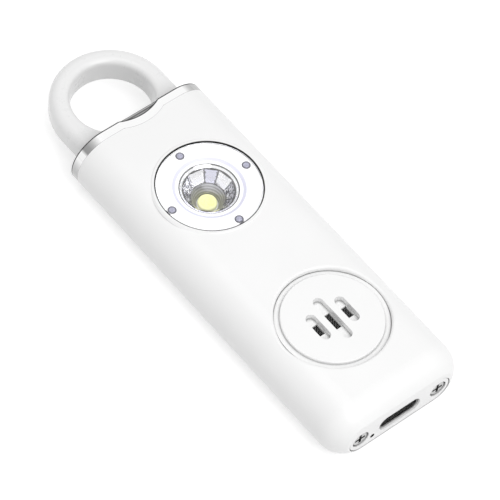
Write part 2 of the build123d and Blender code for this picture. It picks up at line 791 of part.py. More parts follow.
# Charging socket: a drawn metal shell with a closed back, and the contact tongue inside it.
with BuildPart() as usb_socket_shell:
    with BuildSketch(across(socket_start)):
        with Locations((0, end_drop)):
            SlotOverall(socket_width, socket_thickness)
    extrude(amount=socket_length)
    with BuildSketch(across(socket_start)):
        with Locations((0, end_drop)):
            SlotOverall(socket_width - 2 * socket_wall, socket_thickness - 2 * socket_wall)
    extrude(amount=socket_length - socket_back, mode=Mode.SUBTRACT)
usb_socket_shell.part.label = "usb_socket_shell"
export_step(usb_socket_shell.part, "parts/usb_socket_shell.step")

with BuildPart() as usb_socket_tongue:
    with BuildSketch(across(socket_start + socket_length - socket_back - rest_gap)):
        with Locations((0, end_drop)):
            Rectangle(socket_tongue_width, socket_tongue_thickness)
    extrude(amount=-socket_tongue_length)
    chamfer(usb_socket_tongue.faces().sort_by(Axis.Y)[0].edges().filter_by(Axis.X), rest_gap)
usb_socket_tongue.part.label = "usb_socket_tongue"
export_step(usb_socket_tongue.part, "parts/usb_socket_tongue.step")

# Chips and the siren's coil, on the back of the main board.
with BuildPart() as controller_chip:
    with BuildSketch(Plane.XY.offset(board_z - rest_gap)):
        with Locations((controller_x, level(controller_place))):
            Rectangle(controller_width, controller_length)
    extrude(amount=-chip_thickness)
controller_chip.part.label = "controller_chip"
export_step(controller_chip.part, "parts/controller_chip.step")

with BuildPart() as charger_chip:
    with BuildSketch(Plane.XY.offset(board_z - rest_gap)):
        with Locations((charger_x, level(charger_place))):
            Rectangle(charger_side, charger_side)
    extrude(amount=-chip_thickness)
charger_chip.part.label = "charger_chip"
export_step(charger_chip.part, "parts/charger_chip.step")

with BuildPart() as siren_coil:
    with BuildSketch(Plane.XY.offset(board_z - rest_gap)):
        with Locations((coil_x, level(coil_place))):
            RectangleRounded(coil_width, coil_length, coil_round)
    extrude(amount=-chip_thickness)
siren_coil.part.label = "siren_coil"
export_step(siren_coil.part, "parts/siren_coil.step")

# Indicator: a small light at the board's end, and the pipe that carries it to the pinhole.
with BuildPart() as indicator_led:
    with BuildSketch(Plane.XY.offset(board_top_z + rest_gap)):
        with Locations((-indicator_side, level(tongue_start + fit_gap))):
            Rectangle(indicator_led_width, indicator_led_length, align=(Align.CENTER, Align.MIN))
    extrude(amount=indicator_led_thickness)
indicator_led.part.label = "indicator_led"
export_step(indicator_led.part, "parts/indicator_led.step")

with BuildPart() as indicator_light_pipe:
    with BuildSketch(across(plate_inset + light_pipe_depth)):
        with Locations((-indicator_side, end_drop + indicator_drop)):
            Circle(indicator_radius - rest_gap)
    extrude(amount=tongue_start - fit_gap - plate_inset - light_pipe_depth)
indicator_light_pipe.part.label = "indicator_light_pipe"
export_step(indicator_light_pipe.part, "parts/indicator_light_pipe.step")

# Siren: a cup with a round mouth, and a brass disc with its ceramic held under the cup's ledge.
with BuildPart() as siren_cup:
    with BuildSketch(upright(siren_height)):
        with BuildLine():
            cup_bore = siren_radius - siren_wall
            ledge_z = siren_disc_z + siren_disc_thickness + rest_gap
            ledge_radius = cup_bore - siren_ledge_width
            roof_z = siren_top_z - siren_wall
            Polyline((cup_bore, board_top_z + rest_gap), (siren_radius, board_top_z + rest_gap),
                     (siren_radius, siren_top_z), (siren_mouth_radius, siren_top_z),
                     (siren_mouth_radius, roof_z), (ledge_radius, roof_z), (ledge_radius, ledge_z),
                     (cup_bore, ledge_z), close=True)
        make_face()
    revolve(axis=turning_axis(siren_height))
siren_cup.part.label = "siren_cup"
export_step(siren_cup.part, "parts/siren_cup.step")

with BuildPart() as siren_disc:
    with BuildSketch(Plane.XY.offset(siren_disc_z)):
        with Locations((0, level(siren_height))):
            Circle(siren_disc_radius)
    extrude(amount=siren_disc_thickness)
siren_disc.part.label = "siren_disc"
export_step(siren_disc.part, "parts/siren_disc.step")

with BuildPart() as siren_ceramic:
    with BuildSketch(Plane.XY.offset(siren_disc_z - rest_gap)):
        with Locations((0, level(siren_height))):
            Circle(ceramic_radius)
    extrude(amount=-ceramic_thickness)
siren_ceramic.part.label = "siren_ceramic"
export_step(siren_ceramic.part, "parts/siren_ceramic.step")

with BuildPart() as siren_leads:
    with BuildSketch(Plane.XY.offset(board_top_z + rest_gap)):
        with Locations(*[(side * siren_leads_spacing / 2, level(siren_height)) for side in (-1, 1)]):
            Circle(siren_lead_radius)
    extrude(amount=siren_disc_z - ceramic_thickness - 3 * rest_gap - board_top_z)
siren_leads.part.label = "siren_leads"
export_step(siren_leads.part, "parts/siren_leads.step")

# Button: a flanged cap with a step down round its edge, three sunk slots with a sound hole in
# the floor of each, and a post that works the press switch.
slot_rows = ((-slot_pitch, slot_outer_length, sound_hole_outer_length),
             (0, slot_middle_length, sound_hole_middle_length),
             (slot_pitch, slot_outer_length, sound_hole_outer_length))
with BuildPart() as button_cap:
    with BuildSketch(Plane.XY.offset(button_bottom_z)):
        with Locations((0, level(button_height))):
            Circle(button_flange_radius)
    extrude(amount=button_flange_thickness)
    add(inside_shape, mode=Mode.INTERSECT)
    with BuildSketch(upright(button_height)) as face:
        with BuildLine():
            face_radius = button_radius - button_step_width
            Polyline((0, button_bottom_z), (button_radius, button_bottom_z), (button_radius, button_step_z),
                     (face_radius, button_step_z), (face_radius, button_face_z), (0, button_face_z),
                     close=True)
        make_face()
        fillet(face.vertices().group_by(Axis.Y)[-1].sort_by(Axis.X)[-1], button_edge_round)
    revolve(axis=turning_axis(button_height))
    for row_x, slot_length, hole_length in slot_rows:
        with BuildSketch(Plane.XY.offset(button_face_z)):
            with Locations((row_x, level(button_height))):
                SlotOverall(slot_length, slot_width, rotation=90)
        extrude(amount=-slot_depth, mode=Mode.SUBTRACT)
        with BuildSketch(Plane.XY.offset(button_face_z)):
            with Locations((row_x, level(button_height))):
                Rectangle(sound_hole_width, hole_length)
        extrude(amount=button_bottom_z - button_face_z - overrun, mode=Mode.SUBTRACT)
    with BuildSketch(Plane.XY.offset(button_bottom_z + fit_gap)):
        with Locations((0, level(post_height))):
            Circle(post_radius)
    extrude(amount=stem_top_z + rest_gap - button_bottom_z - fit_gap)
button_cap.part.label = "button_cap"
export_step(button_cap.part, "parts/button_cap.step")

# Dust mesh: a fine disc stuck under the button's sound holes.
with BuildPart() as dust_mesh:
    with BuildSketch(Plane.XY.offset(button_bottom_z - rest_gap)):
        with Locations((0, level(button_height))):
            Circle(mesh_radius)
    extrude(amount=-mesh_thickness)
dust_mesh.part.label = "dust_mesh"
export_step(dust_mesh.part, "parts/dust_mesh.step")

# Return pad: a soft ring that pushes the button back out.
with BuildPart() as button_return_pad:
    with BuildSketch(Plane.XY.offset(carrier_top_z + rest_gap)):
        with Locations((0, level(button_height))):
            Circle(pad_inner_radius + pad_width)
            Circle(pad_inner_radius, mode=Mode.SUBTRACT)
    extrude(amount=button_bottom_z - carrier_top_z - 2 * rest_gap)
    add(inside_shape, mode=Mode.INTERSECT)
button_return_pad.part.label = "button_return_pad"
export_step(button_return_pad.part, "parts/button_return_pad.step")

# Button carrier: a plate across the chassis's walls, open over the siren and the post.
with BuildPart() as button_carrier:
    with BuildSketch(Plane.XY.offset(carrier_z)):
        with Locations((0, level(button_height))):
            RectangleRounded(carrier_width, carrier_length, carrier_round)
        with Locations((0, level(siren_height))):
            Circle(siren_radius + slide_gap, mode=Mode.SUBTRACT)
        with Locations((0, level(post_height))):
            Circle(post_radius + slide_gap, mode=Mode.SUBTRACT)
    extrude(amount=carrier_thickness)
button_carrier.part.label = "button_carrier"
export_step(button_carrier.part, "parts/button_carrier.step")

# Press switch: a square body on the main board, and the stem that the button's post pushes.
with BuildPart() as tact_switch_body:
    with BuildSketch(Plane.XY.offset(tact_z)):
        with Locations((0, level(post_height))):
            Rectangle(tact_side, tact_side)
    extrude(amount=tact_thickness)
    with BuildSketch(Plane.XY.offset(tact_top_z)):
        with Locations((0, level(post_height))):
            Circle(tact_stem_radius + slide_gap)
    extrude(amount=tact_stem_exposed - tact_stem_length - button_travel - slide_gap, mode=Mode.SUBTRACT)
tact_switch_body.part.label = "tact_switch_body"
export_step(tact_switch_body.part, "parts/tact_switch_body.step")

with BuildPart() as tact_switch_stem:
    with BuildSketch(Plane.XY.offset(stem_top_z)):
        with Locations((0, level(post_height))):
            Circle(tact_stem_radius)
    extrude(amount=-tact_stem_length)
tact_switch_stem.part.label = "tact_switch_stem"
export_step(tact_switch_stem.part, "parts/tact_switch_stem.step")

# Trigger switch: on the lamp board, with a plunger that the ring's left stub holds in.
with BuildPart() as trigger_switch_body:
    with BuildSketch(Plane.XY.offset(trigger_z)):
        with Locations((-leg_x, level(trigger_end))):
            Rectangle(trigger_width, trigger_length, align=(Align.CENTER, Align.MAX))
    extrude(amount=trigger_thickness)
    with BuildSketch(across(trigger_end)):
        with Locations((-leg_x, mid_z - trigger_mid_z)):
            Circle(plunger_radius + slide_gap)
    extrude(amount=plunger_exposed - plunger_length - slide_gap, mode=Mode.SUBTRACT)
trigger_switch_body.part.label = "trigger_switch_body"
export_step(trigger_switch_body.part, "parts/trigger_switch_body.step")

with BuildPart() as trigger_plunger:
    with BuildSketch(across(plunger_end)):
        with Locations((-leg_x, mid_z - trigger_mid_z)):
            Circle(plunger_radius)
    extrude(amount=-plunger_length)
trigger_plunger.part.label = "trigger_plunger"
export_step(trigger_plunger.part, "parts/trigger_plunger.step")

# Battery: a flat pouch cell on a foam pad, with its protection board and leads at one end.
battery_mid = battery_start + battery_length / 2
with BuildPart() as battery_cell:
    with BuildSketch(across(battery_start)):
        with Locations((0, mid_z - battery_z - battery_thickness / 2)):
            RectangleRounded(battery_width, battery_thickness, battery_round)
    extrude(amount=battery_length)
battery_cell.part.label = "battery_cell"
export_step(battery_cell.part, "parts/battery_cell.step")

with BuildPart() as battery_pad:
    with BuildSketch(Plane.XY.offset(floor_z + rest_gap)):
        with Locations((0, level(battery_mid))):
            Rectangle(battery_width - 2 * battery_pad_margin, battery_length - 2 * battery_pad_margin)
    extrude(amount=battery_pad_thickness)
battery_pad.part.label = "battery_pad"
export_step(battery_pad.part, "parts/battery_pad.step")

with BuildPart() as battery_protection_board:
    with BuildSketch(across(protection_start)):
        with Locations((0, mid_z - battery_z - battery_thickness / 2)):
            Rectangle(protection_width, protection_thickness)
    extrude(amount=protection_length)
battery_protection_board.part.label = "battery_protection_board"
export_step(battery_protection_board.part, "parts/battery_protection_board.step")

with BuildPart() as battery_leads:
    lead_z = board_top_z + rest_gap + lead_radius
    with BuildSketch(across(protection_start - rest_gap)):
        with Locations(*leg_places(lead_spacing / 2)):
            with Locations((0, mid_z - lead_z)):
                Circle(lead_radius)
    extrude(amount=-lead_length)
battery_leads.part.label = "battery_leads"
export_step(battery_leads.part, "parts/battery_leads.step")

# Link: a flat strip from the main board, over the battery, to the lamp board.
with BuildPart() as link_flex:
    with BuildSketch(Plane.YZ):
        with BuildLine():
            link_low = board_top_z + rest_gap
            link_foot = board_end - link_overlap
            link_bend = protection_start - rest_gap - link_ramp
            link_tip = lamp_board_start + link_overlap
            lower_line = [(link_foot, link_low), (link_bend, link_low),
                          (protection_start, link_z), (link_tip, link_z)]
            upper_line = [(height, strip_z + link_thickness) for height, strip_z in reversed(lower_line)]
            Polyline(*[(level(height), strip_z) for height, strip_z in lower_line + upper_line], close=True)
        make_face()
    extrude(amount=link_width / 2, both=True)
link_flex.part.label = "link_flex"
export_step(link_flex.part, "parts/link_flex.step")
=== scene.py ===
# Personal safety alarm: the finish of every surface, four finer pieces, the lamps and the camera.
import math

import bpy
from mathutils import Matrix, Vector


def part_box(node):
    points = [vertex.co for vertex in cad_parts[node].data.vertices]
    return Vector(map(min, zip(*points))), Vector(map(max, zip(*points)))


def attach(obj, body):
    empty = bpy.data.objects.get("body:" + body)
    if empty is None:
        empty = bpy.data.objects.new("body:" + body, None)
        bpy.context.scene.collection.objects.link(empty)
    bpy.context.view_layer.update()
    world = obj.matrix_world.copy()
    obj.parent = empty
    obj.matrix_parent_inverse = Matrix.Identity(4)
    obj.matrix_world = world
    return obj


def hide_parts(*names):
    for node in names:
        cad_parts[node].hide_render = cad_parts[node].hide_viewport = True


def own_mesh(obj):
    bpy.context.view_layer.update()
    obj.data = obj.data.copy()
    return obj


MM = 0.001

# All places and sizes are in millimetres
HALF_WIDTH = 14.5
MIDDLE_HEIGHT = 6.375
TRIM_TOP = 27.45
TRIM_HEIGHT = 1.8
DIP_ROUND = 9.744
DIP_CENTRE_RISE = 8.694
PINHOLE_PLACE = (-5.95, -45.8, 4.45)
PINHOLE_RADIUS = 0.44

# The lamp
LAMP_CENTRE = (0, 7.1)
LAMP_STEP_RADII = (6.0, 6.6)
STAKE_CIRCLE = 8.33
STAKE_TURN_DEGREES = 90
STAKE_RIM_RADII = (0.48, 0.62)
BORE_RADIUS = 5.4
MOUTH_HEIGHT = 11.2
BOWL_MIDDLE_HEIGHT = 10.08
WAIST_HEIGHT = 8.95
FACET_COUNT = 10
FACET_START_DEGREES = 28
SHADE_LINE_HALF_WIDTHS = (0.05, 0.1)
PHOSPHOR_RIM_RADII = (1.2, 1.85)

# The button, its return pad and the window's seal
BUTTON_CENTRE = (0, -26.8)
PAD_WIDTH = 1.0
PAD_ROUNDING = 0.2
SEAL_WIDTH = 0.17
SEAL_SINK = 0.03
SEAL_ROUNDING = 0.06
RING_SIDES = 128

# The wires of the dust mesh
WIRE_WIDTH = 0.13
WIRE_SIDES = 5
WIRE_PITCH = 0.3
WIRE_SWING = 0.055
RIM_CUTS = 32

# The contacts on each side of the socket's tongue
CONTACT_COUNT = 12
CONTACT_PITCH = 0.5
CONTACT_LENGTH = 3.2
CONTACT_WIDTH = 0.28
CONTACT_RISE = 0.05
CONTACT_SETBACK = 0.25
NOSE_LENGTH = 0.12
NOSE_DROP = 0.04

# How near two measures are that count as the same
NEAR = 0.01

# The camera, which stands below and to the left of the alarm, above its front
CAMERA_PLACE = (-260.313, -256.912, 522.573)
CAMERA_TURN_DEGREES = (34.8069, -4.8243, -39.034)
CAMERA_LENS = 259.28
SENSOR_WIDTH = 36

# Light
WORLD_LEVEL = 0.6
KEY_PLACE = (0, -420, 560)
KEY_SIZE = 420
KEY_POWER = 1.75
OVERHEAD_PLACE = (0, 60, 700)
OVERHEAD_SIZE = 500
OVERHEAD_POWER = 0.85
FLOOR_SIZE = 6000
FLOOR_GREY = 0.72
FLOOR_LIFT = 0.52


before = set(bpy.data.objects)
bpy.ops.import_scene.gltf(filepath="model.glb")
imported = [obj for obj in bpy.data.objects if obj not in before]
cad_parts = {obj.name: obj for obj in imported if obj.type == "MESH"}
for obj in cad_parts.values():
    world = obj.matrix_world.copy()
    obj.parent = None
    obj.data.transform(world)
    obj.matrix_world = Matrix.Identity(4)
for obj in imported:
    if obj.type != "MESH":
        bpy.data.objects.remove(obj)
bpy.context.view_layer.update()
bpy.ops.object.select_all(action="DESELECT")


# Shader building


def add_node(tree, kind, values=None, **settings):
    """A node in a tree, with its settings and the values of its own sockets."""
    node = tree.nodes.new(kind)
    for name, setting in settings.items():
        setattr(node, name, setting)
    for name, value in (values or {}).items():
        node.inputs[name].default_value = value
    return node


def join(tree, source, target):
    """A link from an output to an input."""
    tree.links.new(source, target)


def give(tree, value, socket):
    """Another node's output linked to a socket, or a plain value set on it."""
    if isinstance(value, bpy.types.NodeSocket):
        join(tree, value, socket)
    else:
        socket.default_value = value


def maths(tree, operation, first, second=None):
    """One sum on values, each a number or another node's output."""
    node = add_node(tree, "ShaderNodeMath", operation=operation)
    give(tree, first, node.inputs[0])
    if second is not None:
        give(tree, second, node.inputs[1])
    return node.outputs[0]


def apart(tree, value, place):
    """How far a value is from a place, either way."""
    return maths(tree, "ABSOLUTE", maths(tree, "SUBTRACT", value, place))


def distance(tree, first, second):
    """How far off a point is whose two distances, square to each other, are given."""
    squares = [maths(tree, "MULTIPLY", side, side) for side in (first, second)]
    return maths(tree, "SQRT", maths(tree, "ADD", *squares))


def map_range(tree, value, low, high, new_low, new_high, smooth=False):
    """A value carried from one range to another, held at its ends."""
    node = add_node(tree, "ShaderNodeMapRange", clamp=True)
    if smooth:
        node.interpolation_type = "SMOOTHSTEP"
    names = ("Value", "From Min", "From Max", "To Min", "To Max")
    for name, given in zip(names, (value, low, high, new_low, new_high)):
        give(tree, given, node.inputs[name])
    return node.outputs["Result"]


def mix_colours(tree, share, first, second):
    """Two colours mixed by a share, each a colour or another node's output."""
    node = add_node(tree, "ShaderNodeMix", data_type="RGBA")
    for place, value in zip((0, 6, 7), (share, first, second)):
        give(tree, value, node.inputs[place])
    return node.outputs[2]


def cover(tree, tone, layers):
    """A tone with layers laid over it in turn, each a mask and a colour."""
    for mask, colour in layers:
        tone = mix_colours(tree, mask, tone, colour)
    return tone


def colour_ramp(tree, value, stops, interpolation="LINEAR"):
    """A value turned to a colour by its stops, each a place from 0 to 1 and a colour."""
    ramp = add_node(tree, "ShaderNodeValToRGB")
    ramp.color_ramp.interpolation = interpolation
    elements = ramp.color_ramp.elements
    for index, (place, colour) in enumerate(stops):
        element = elements[index] if index < 2 else elements.new(place)
        element.position = place
        element.color = colour
    join(tree, value, ramp.inputs["Fac"])
    return ramp.outputs["Color"]


def new_group(name, inputs, outputs):
    """An empty shader group with named inputs and outputs."""
    group = bpy.data.node_groups.new(name, "ShaderNodeTree")
    kinds = {"vector": "NodeSocketVector", "colour": "NodeSocketColor", "value": "NodeSocketFloat"}
    for label, kind, value in inputs:
        socket = group.interface.new_socket(label, in_out="INPUT", socket_type=kinds[kind])
        if value is not None:
            socket.default_value = value
    for label, kind in outputs:
        group.interface.new_socket(label, in_out="OUTPUT", socket_type=kinds[kind])
    return (group, group.nodes.new("NodeGroupInput").outputs,
            group.nodes.new("NodeGroupOutput").inputs)


def in_millimetres(tree, coordinates, stretch=(1, 1, 1), centre=(0, 0, 0)):
    """Coordinates about a centre, counted in millimetres and stretched along each axis."""
    node = add_node(tree, "ShaderNodeMapping", {
        "Scale": [part / MM for part in stretch],
        "Location": [-place * part for place, part in zip(centre, stretch)]}, vector_type="POINT")
    join(tree, coordinates, node.inputs["Vector"])
    return node.outputs["Vector"]


def axes(tree, vector):
    """The three parts of a vector."""
    parts = add_node(tree, "ShaderNodeSeparateXYZ")
    join(tree, vector, parts.inputs[0])
    return parts.outputs


def noise(tree, vector, size, detail=2.0, roughness=0.5):
    """A noise whose patches are of about that size in millimetres."""
    node = add_node(tree, "ShaderNodeTexNoise", {"Detail": detail, "Roughness": roughness})
    join(tree, vector, node.inputs["Vector"])
    linked = isinstance(size, bpy.types.NodeSocket)
    give(tree, maths(tree, "DIVIDE", 1.0, size) if linked else 1 / size, node.inputs["Scale"])
    return node.outputs["Fac"]


# Effects that several finishes share


def scratches_group():
    """Hair-fine scratches from pockets and keys: a mask of thin lines in three directions."""
    group, given, made = new_group(
        "fine scratches",
        [("Coordinates", "vector", None), ("Length", "value", 6.0), ("Amount", "value", 0.5)],
        [("Mask", "value")])
    turns_and_stretches = ((0.4, (1, 9, 1)), (1.7, (8, 1, 1)), (2.6, (1, 7, 2)))
    line_width, bare_patch = 0.006, 11.0
    lines = 0.0
    for turn, stretch in turns_and_stretches:
        vector = in_millimetres(group, given["Coordinates"], stretch)
        turned = add_node(group, "ShaderNodeVectorRotate", {"Angle": turn}, rotation_type="Z_AXIS")
        join(group, vector, turned.inputs["Vector"])
        field = noise(group, turned.outputs["Vector"], given["Length"], 3.0)
        line = map_range(group, apart(group, field, 0.5), 0.0, line_width, 1.0, 0.0, smooth=True)
        lines = maths(group, "MAXIMUM", lines, line)
    patches = noise(group, in_millimetres(group, given["Coordinates"]), bare_patch)
    shown = map_range(group, patches, 0.48, 0.66, 0.0, 1.0, smooth=True)
    seen = maths(group, "MULTIPLY", lines, shown)
    join(group, maths(group, "MULTIPLY", seen, given["Amount"]), made["Mask"])
    return group


def skin_group(scratches):
    """A moulded surface: its slight change of tone, its gloss with handling marks, its grain."""
    group, given, made = new_group(
        "moulded skin",
        [("Coordinates", "vector", None), ("Colour", "colour", (0.8, 0.8, 0.8, 1)),
         ("Second Colour", "colour", (0.7, 0.7, 0.7, 1)), ("Patch Size", "value", 12.0),
         ("Smooth", "value", 0.3), ("Rough", "value", 0.4), ("Grain Size", "value", 0.12),
         ("Scratches", "value", 0.3)],
        [("Colour", "colour"), ("Roughness", "value"), ("Height", "value")])
    smudge_size, scratch_gloss, scratch_depth = 3.2, 0.25, 0.35
    vector = in_millimetres(group, given["Coordinates"])
    patches = noise(group, vector, given["Patch Size"])
    share = map_range(group, patches, 0.35, 0.65, 0.0, 1.0, smooth=True)
    join(group, mix_colours(group, share, given["Colour"], given["Second Colour"]), made["Colour"])
    marks = add_node(group, "ShaderNodeGroup", node_tree=scratches)
    join(group, given["Coordinates"], marks.inputs["Coordinates"])
    join(group, given["Scratches"], marks.inputs["Amount"])
    worn = marks.outputs["Mask"]
    smudges = noise(group, vector, smudge_size, 4.0, 0.6)
    gloss = map_range(group, smudges, 0.35, 0.7, given["Smooth"], given["Rough"])
    join(group, maths(group, "ADD", gloss, maths(group, "MULTIPLY", worn, scratch_gloss)),
         made["Roughness"])
    grain = noise(group, vector, given["Grain Size"], 3.0, 0.6)
    join(group, maths(group, "SUBTRACT", grain, maths(group, "MULTIPLY", worn, scratch_depth)),
         made["Height"])
    return group


def brushed_group():
    """Metal drawn or rolled one way: long soft streaks in tone, gloss and height."""
    group, given, made = new_group(
        "drawn metal",
        [("Coordinates", "vector", None), ("Colour", "colour", (0.8, 0.8, 0.8, 1)),
         ("Streak Colour", "colour", (0.6, 0.6, 0.6, 1)), ("Streak Width", "value", 0.1),
         ("Smooth", "value", 0.15), ("Rough", "value", 0.3)],
        [("Colour", "colour"), ("Roughness", "value"), ("Height", "value")])
    drawn_out = (0.06, 1, 1)
    vector = in_millimetres(group, given["Coordinates"], drawn_out)
    streaks = noise(group, vector, given["Streak Width"], 4.0, 0.6)
    share = map_range(group, streaks, 0.35, 0.7, 0.0, 1.0)
    join(group, mix_colours(group, share, given["Colour"], given["Streak Colour"]), made["Colour"])
    join(group, map_range(group, streaks, 0.3, 0.7, given["Smooth"], given["Rough"]),
         made["Roughness"])
    join(group, streaks, made["Height"])
    return group


def round_the_lamp_group():
    """Where a point of the lamp is: its facet's number and its place across that facet, its
    distance from the lamp's middle, its height, and its distance from the nearest stake."""
    group, given, made = new_group(
        "round the lamp", [("Coordinates", "vector", None)],
        [("Facet", "value"), ("Across", "value"), ("Radius", "value"), ("Height", "value"),
         ("From Stake", "value")])
    full_turn = 360.0
    x, y, z = axes(group, in_millimetres(group, given["Coordinates"], centre=(*LAMP_CENTRE, 0)))
    turn = maths(group, "DEGREES", maths(group, "ARCTAN2", y, x))
    past = maths(group, "FLOORED_MODULO", maths(group, "SUBTRACT", turn, FACET_START_DEGREES),
                 full_turn)
    facets = maths(group, "DIVIDE", past, full_turn / FACET_COUNT)
    join(group, maths(group, "FLOOR", facets), made["Facet"])
    join(group, maths(group, "FRACT", facets), made["Across"])
    radius = distance(group, x, y)
    join(group, radius, made["Radius"])
    join(group, z, made["Height"])
    half = STAKE_TURN_DEGREES / 2
    folded = maths(group, "FLOORED_MODULO", maths(group, "ADD", turn, half), STAKE_TURN_DEGREES)
    slant = maths(group, "RADIANS", maths(group, "SUBTRACT", folded, half))
    outward = maths(group, "MULTIPLY", radius, maths(group, "COSINE", slant))
    aside = maths(group, "MULTIPLY", radius, maths(group, "SINE", slant))
    join(group, distance(group, maths(group, "SUBTRACT", outward, STAKE_CIRCLE), aside),
         made["From Stake"])
    return group


def gap_shade_group():
    """Where a surface lies in a gap, a slot or a corner: a mask for painted shade there."""
    group, given, made = new_group(
        "shade in the gaps",
        [("Reach", "value", 0.6), ("Open", "value", 0.75), ("Shut", "value", 0.15)],
        [("Mask", "value")])
    around = add_node(group, "ShaderNodeAmbientOcclusion", samples=6)
    join(group, maths(group, "MULTIPLY", given["Reach"], MM), around.inputs["Distance"])
    join(group, map_range(group, around.outputs["AO"], given["Shut"], given["Open"], 1.0, 0.0),
         made["Mask"])
    return group


fine_scratches = scratches_group()
moulded_skin = skin_group(fine_scratches)
drawn_metal = brushed_group()
round_the_lamp = round_the_lamp_group()
gap_shade = gap_shade_group()


# Finishes

WHITE = 0.93
BRIGHT = 0.97
MOULD_PATCH = 14
FINE_DEPTH = 0.003


def new_finish(name, **values):
    """A material with a Principled shader, the plain values set on its own sockets."""
    material = bpy.data.materials.new(name)
    material.use_nodes = True
    tree = material.node_tree
    shader = tree.nodes["Principled BSDF"]
    for label, value in values.items():
        shader.inputs[label.replace("_", " ")].default_value = value
    coordinates = add_node(tree, "ShaderNodeTexCoord").outputs["Object"]
    return material, tree, shader, coordinates


def place_group(tree, group, coordinates, values=None):
    """A group placed in a material, with its own values."""
    node = add_node(tree, "ShaderNodeGroup", values, node_tree=group)
    join(tree, coordinates, node.inputs["Coordinates"])
    return node.outputs


def add_bump(tree, shader, height, depth):
    """A relief of that depth in millimetres on the shader's normal."""
    bump = add_node(tree, "ShaderNodeBump", {"Strength": 1.0, "Distance": depth * MM})
    join(tree, height, bump.inputs["Height"])
    join(tree, bump.outputs["Normal"], shader.inputs["Normal"])


def put_on(tree, shader, surface, tone, depth):
    """A tone on the shader, with the gloss and the relief of a surface."""
    join(tree, tone, shader.inputs["Base Color"])
    join(tree, surface["Roughness"], shader.inputs["Roughness"])
    add_bump(tree, shader, surface["Height"], depth)


def grey(level, tint=(1, 1, 1)):
    """A grey of that level, with a slight tint."""
    return (level * tint[0], level * tint[1], level * tint[2], 1)


def shade_gaps(tree, colour, dark, reach, most, wide=0.75):
    """A colour darkened by painted shade down in the gaps."""
    gaps = add_node(tree, "ShaderNodeGroup", {"Reach": reach, "Open": wide}, node_tree=gap_shade)
    return mix_colours(tree, maths(tree, "MULTIPLY", gaps.outputs["Mask"], most), colour, dark)


def moulded(name, colour, second, smooth, rough, grain=0.12, depth=FINE_DEPTH, marks=0.3,
            gaps=None, **values):
    """A moulded plastic or rubber."""
    material, tree, shader, coordinates = new_finish(name, **values)
    skin = place_group(tree, moulded_skin, coordinates, {
        "Colour": colour, "Second Colour": second, "Smooth": smooth, "Rough": rough,
        "Grain Size": grain, "Scratches": marks, "Patch Size": MOULD_PATCH})
    tone = shade_gaps(tree, skin["Colour"], **gaps) if gaps else skin["Colour"]
    put_on(tree, shader, skin, tone, depth)
    return material


def metal(name, colour, streak, smooth, rough, width=0.12, gaps=None):
    """A drawn or rolled metal."""
    material, tree, shader, coordinates = new_finish(name, Metallic=1.0)
    sheet = place_group(tree, drawn_metal, coordinates, {
        "Colour": colour, "Streak Colour": streak, "Streak Width": width,
        "Smooth": smooth, "Rough": rough})
    tone = shade_gaps(tree, sheet["Colour"], **gaps) if gaps else sheet["Colour"]
    put_on(tree, shader, sheet, tone, FINE_DEPTH)
    return material


def clear(name, colour, index, roughness=0.02):
    """A clear plastic that lets the light of the lamps through."""
    material, tree, shader, coordinates = new_finish(name, IOR=index, Transmission_Weight=1.0)
    skin = place_group(tree, moulded_skin, coordinates, {
        "Colour": colour, "Second Colour": colour, "Smooth": roughness, "Rough": roughness + 0.03,
        "Grain Size": 0.6, "Scratches": 0.5})
    put_on(tree, shader, skin, skin["Colour"], 0.0004)
    through = add_node(tree, "ShaderNodeBsdfTransparent", {"Color": colour})
    kind = add_node(tree, "ShaderNodeLightPath")
    mixed = add_node(tree, "ShaderNodeMixShader")
    join(tree, kind.outputs["Is Shadow Ray"], mixed.inputs[0])
    join(tree, shader.outputs[0], mixed.inputs[1])
    join(tree, through.outputs[0], mixed.inputs[2])
    join(tree, mixed.outputs[0], tree.nodes["Material Output"].inputs["Surface"])
    return material


def chrome_trim():
    """The bright plated band, with a painted reflection of dark things at its rounded ends, a
    painted dark reflection along its top edge that follows the dip, and a grey line at its foot."""
    material, tree, shader, coordinates = new_finish("bright chrome band", Metallic=1.0)
    x, y, z = axes(tree, in_millimetres(tree, coordinates))
    # Painted reflection: the band's tone along its width, darker where its rounded ends would
    # mirror dark things.
    levels = ((-14.5, 0.4), (-14.0, 0.6), (-13.4, 0.9), (-12.8, 0.9), (-12.4, 0.3), (-11.6, 0.34),
              (-10.8, 0.5), (-9.4, 0.96), (9.6, 0.96), (10.6, 0.6), (12.0, 0.42), (13.4, 0.32),
              (14.5, 0.5))
    painted_reflection = colour_ramp(
        tree, map_range(tree, x, -HALF_WIDTH, HALF_WIDTH, 0.0, 1.0),
        [((place + HALF_WIDTH) / (2 * HALF_WIDTH), grey(level)) for place, level in levels])
    arc = maths(tree, "SQRT", maths(tree, "SUBTRACT", DIP_ROUND ** 2,
                                    maths(tree, "MULTIPLY", x, x)))
    dip = maths(tree, "MAXIMUM", maths(tree, "SUBTRACT", arc, DIP_CENTRE_RISE), 0.0)
    front = maths(tree, "GREATER_THAN", z, MIDDLE_HEIGHT)
    lowered = maths(tree, "ADD", y, maths(tree, "MULTIPLY", dip, front))
    below = maths(tree, "SUBTRACT", TRIM_TOP, lowered)
    # Painted dark reflection along the rolled top edge, lowered with the dip.
    edge = map_range(tree, below, 0.16, 0.24, 1.0, 0.0)
    foot = map_range(tree, below, TRIM_HEIGHT - 0.12, TRIM_HEIGHT - 0.06, 0.0, 0.6)
    tone = cover(tree, painted_reflection, ((edge, grey(0.06)), (foot, grey(0.45))))
    join(tree, tone, shader.inputs["Base Color"])
    sheet = place_group(tree, drawn_metal, coordinates, {"Smooth": 0.06, "Rough": 0.14})
    join(tree, sheet["Roughness"], shader.inputs["Roughness"])
    return material


def facet_ramp(tree, where, tones):
    """A colour for each facet of the reflector, counted from the first."""
    middle = maths(tree, "DIVIDE", maths(tree, "ADD", where["Facet"], 0.5), FACET_COUNT)
    stops = [(index / FACET_COUNT, tone) for index, tone in enumerate(tones)]
    return colour_ramp(tree, middle, stops, "CONSTANT")


